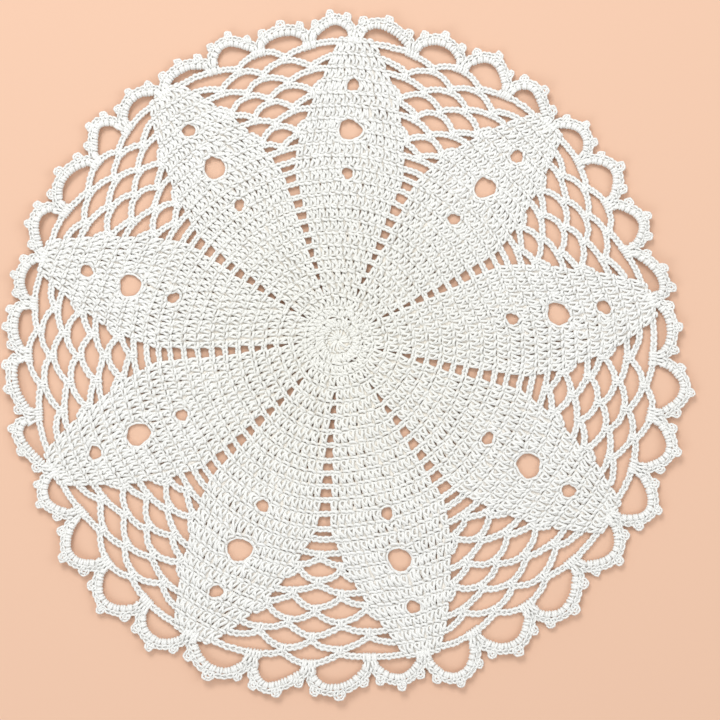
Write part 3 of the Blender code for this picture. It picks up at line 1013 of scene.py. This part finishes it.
def ground_leaf(leaf):
    """Thin strips inside a leaf's stitches, one a row, with the gaps between the posts and the eyelets left open."""
    found, leaf_turn = [], math.radians(leaf)
    for number, n, low, high, half_low, half_high, width in row_table(leaf):
        posts = np.repeat(np.arange(1, n) / n - 0.5, 2)
        inset = 0.5 - (0.3 if low < 16 else 0.9) / width
        middle = np.concatenate([[-inset], posts, [inset]])
        side = np.concatenate([[0.0], np.tile([-GAP, GAP], n - 1) - 0.03, [0.0]])
        f, t = np.meshgrid(np.arange(len(middle)), LEVELS + (0.0, 0.0, 0.0, 0.0, 0.10 * (number == ROUNDS)))
        r, b = worked(leaf, n, low, high, half_low, half_high, width, middle[f], side[f], t)
        # Nearest places that the eyelets leave it
        a = np.radians(b - leaf)
        x, y = r * np.cos(a), r * np.sin(a)
        flat_x, flat_y = low + t * (high - low), middle[f] * width + side[f] * width / n
        lost = np.zeros((len(LEVELS) - 1, len(middle) - 1), bool)
        for at, hx, hy, clear in EYELETS:
            cell = lambda v: (v[:-1, :-1] + v[1:, 1:]) / 2
            lost |= (np.abs(cell(flat_x) - top(at)) < hx) & (np.abs(cell(flat_y)) < hy)
            dx, dy = x - top(at), y
            d = np.hypot(dx, dy) + 1e-9
            k = np.maximum(1.0, (rim(clear, at, leaf, np.arctan2(dy, dx)) + 0.5) / d)
            x, y = top(at) + dx * k, dy * k
        # The gap between two posts is open to the table where the fabric is looser, and its upper part in other places too
        cell_a = leaf_turn + middle[1:-1:2] * (half_low + half_high) * math.pi / 180
        mid = (low + high) / 2
        loose = field(mid * np.cos(cell_a), mid * np.sin(cell_a), 30.0, 32)
        lost[1, 1::2] |= loose + RNG.uniform(-0.25, 0.25, len(loose)) < -0.42
        lost[2, 1::2] |= loose + RNG.uniform(-0.7, 0.7, len(loose)) < -0.14
        row, col = np.nonzero(~lost)
        cols = len(middle)
        quads = np.stack([row * cols + col, (row + 1) * cols + col, (row + 1) * cols + col + 1, row * cols + col + 1], axis=1)
        radius, bearing = np.hypot(x, y).ravel(), leaf + np.degrees(np.arctan2(y, x)).ravel()
        points = laid(radius, bearing, np.full(len(radius), 1.0))
        points[:, 2] = np.repeat(LEVEL_HIGH, cols) + lift(radius, bearing)
        found.append(thick_sheet(points, quads, 0.8))
    # Under the stitches round each eyelet
    turn = np.radians(np.arange(0, 360, 15))
    for at, hx, hy, clear in EYELETS:
        rings = np.stack([rim(clear, at, leaf, turn) + more for more in (0.1, 2.6)])
        x, y = top(at) + rings * np.cos(turn), rings * np.sin(turn)
        radius, bearing = np.hypot(x, y).ravel(), leaf + np.degrees(np.arctan2(y, x)).ravel()
        points = laid(radius, bearing, np.full(len(radius), 1.0))
        points[:, 2] = 1.5 + lift(radius, bearing)
        k = np.arange(len(turn))
        found.append(thick_sheet(points, np.stack([k, k + len(k), np.roll(k, -1) + len(k), np.roll(k, -1)], axis=1), 0.6))
    return found


def ribbon(line, half_wide, steps, z):
    """A thin closed ribbon along a line, for the inside of a cord or band."""
    along = np.linspace(0, line.length, steps)
    left = line.spot(along, np.full(steps, half_wide))
    right = line.spot(along, np.full(steps, -half_wide))
    spots = np.stack([left, right], axis=1).reshape(-1, 2)
    radius, bearing = polar(spots)
    x, y = lies(radius, bearing)
    points = np.stack([x, y, z + lift(radius, bearing)], axis=1)
    k = 2 * np.arange(steps - 1)
    quads = np.stack([k, k + 1, k + 3, k + 2], axis=1)
    return thick_sheet(points, quads, 0.8)


def ground(material):
    parts = [part for k in range(LEAVES) for part in ground_leaf(LEAF_0 + 40.0 * k)]
    # The middle, inside the first row
    turn = np.linspace(0, 360, 37)[:-1]
    rings = np.array([1.2, 4.0, 8.9])
    r, b = np.meshgrid(rings, turn, indexing="ij")
    x, y = lies(r.ravel(), b.ravel())
    k = np.arange(2 * 36).reshape(2, 36)
    nxt = np.roll(k, -1, axis=1)
    quads = np.stack([k, k + 36, nxt + 36, nxt], axis=-1).reshape(-1, 4)
    parts.append(thick_sheet(np.stack([x, y, np.repeat([1.2, 2.1, 2.3], 36)], axis=1), quads, 0.8))
    for k in range(LEAVES):
        seam = LEAF_0 + 20.0 + 40.0 * k
        for n, _ in NET:
            for arch in CORDS[n]:
                parts.append(ribbon(arch_line(seam, arch), 1.15, 9, 1.1))
    for i in range(len(SCALLOPS)):
        r, b = band_line(i, -1.35)
        line = Line(np.stack([r * np.cos(np.radians(b)), r * np.sin(np.radians(b))], axis=1))
        parts.append(ribbon(line, 1.5, 17, 1.8))
        # Behind the stitches of each pillar
        a, r = math.radians(EVEN[i]), np.linspace(EDGE - 3.0, EDGE + 3.0, 3)
        parts.append(ribbon(Line(np.stack([r * math.cos(a), r * math.sin(a)], axis=1)), 3.6, 3, 1.7))
    points, faces, count = [], [], 0
    for p, q in parts:
        points.append(p)
        faces.append(q + count)
        count += len(p)
    faces = np.concatenate(faces)
    return mesh_piece("ground_cloth", np.concatenate(points) * MM, faces.ravel().astype(np.int32), np.full(len(faces), 4, np.int32), material)


# ---------------------------------------------------------------- the pieces

ivory = cotton("ivory_cotton_yarn")
# Painted shade: the felted inside is a little darker and warmer than the yarn, for the shade deep in the cloth
inner = cotton("ivory_cotton_inside_painted_shade", twisted=False, painted_shade_tint=(1.0, 0.95, 0.90))

pieces, triangles = [], {}


def piece(yarn, name):
    made = yarn.make(name, ivory)
    triangles[name] = yarn.triangles()
    pieces.append(made)


for k in range(LEAVES):
    piece(leaf_yarn(LEAF_0 + 40.0 * k), f"leaf_{k + 1}")
for k in range(LEAVES):
    piece(net_yarn(k), f"net_{k + 1}")
for k in range(4):
    piece(edging_yarn(9 * k, 9 * k + 9), f"edging_{k + 1}")
piece(middle_yarn(), "middle_ring")
cloth = ground(inner)
triangles["ground_cloth"] = sum(len(p.vertices) - 2 for p in cloth.data.polygons)

for made in (*pieces, cloth):
    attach(made, "root")
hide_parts("doily")

# ---------------------------------------------------------------- floor, light and camera

floor_mesh = bpy.data.meshes.new("floor")
floor_mesh.from_pydata([(-3, -3, 0), (3, -3, 0), (3, 3, 0), (-3, 3, 0)], [], [(0, 1, 2, 3)])
floor_mesh.materials.append(plain("pale_floor", (0.74, 0.47, 0.33), 0.75))
floor = bpy.data.objects.new("floor", floor_mesh)
bpy.context.scene.collection.objects.link(floor)


def soft_light(name, place_at, size, power, colour=(1, 1, 1)):
    data = bpy.data.lights.new(name, "AREA")
    data.shape = "DISK"
    data.size = size
    data.energy = power
    data.color = colour
    light = bpy.data.objects.new(name, data)
    light.location = place_at
    aim = -np.array(place_at)
    aim = aim / np.linalg.norm(aim)
    light.rotation_euler = Vector(aim).to_track_quat("-Z", "Y").to_euler()
    bpy.context.scene.collection.objects.link(light)


soft_light("top", (-0.4, 1.15, 1.45), 0.8, 18.7, (0.96, 0.99, 1.0))
soft_light("right", (1.2, 0.2, 1.3), 1.0, 5.5, (0.96, 0.985, 1.0))
soft_light("left_below", (-0.9, -0.9, 1.3), 1.0, 5.5, (0.97, 0.985, 1.0))

world = bpy.data.worlds.new("soft_room")
world.use_nodes = True
world.node_tree.nodes["Background"].inputs["Color"].default_value = (0.98, 0.99, 1.0, 1.0)
world.node_tree.nodes["Background"].inputs["Strength"].default_value = 0.64
bpy.context.scene.world = world
bpy.context.scene.view_settings.view_transform = "Standard"

camera_data = bpy.data.cameras.new("camera")
camera_data.sensor_width = 36.0
camera_data.lens = 36.0 * 1.2 / 0.4752
camera = bpy.data.objects.new("camera", camera_data)
camera.location = (0.0145, -0.0132, 1.2)
bpy.context.scene.collection.objects.link(camera)
bpy.context.scene.camera = camera

print("TRIANGLES", sum(triangles.values()), max(triangles.values()), {k: v for k, v in triangles.items() if k.endswith("_1")}, triangles["ground_cloth"])
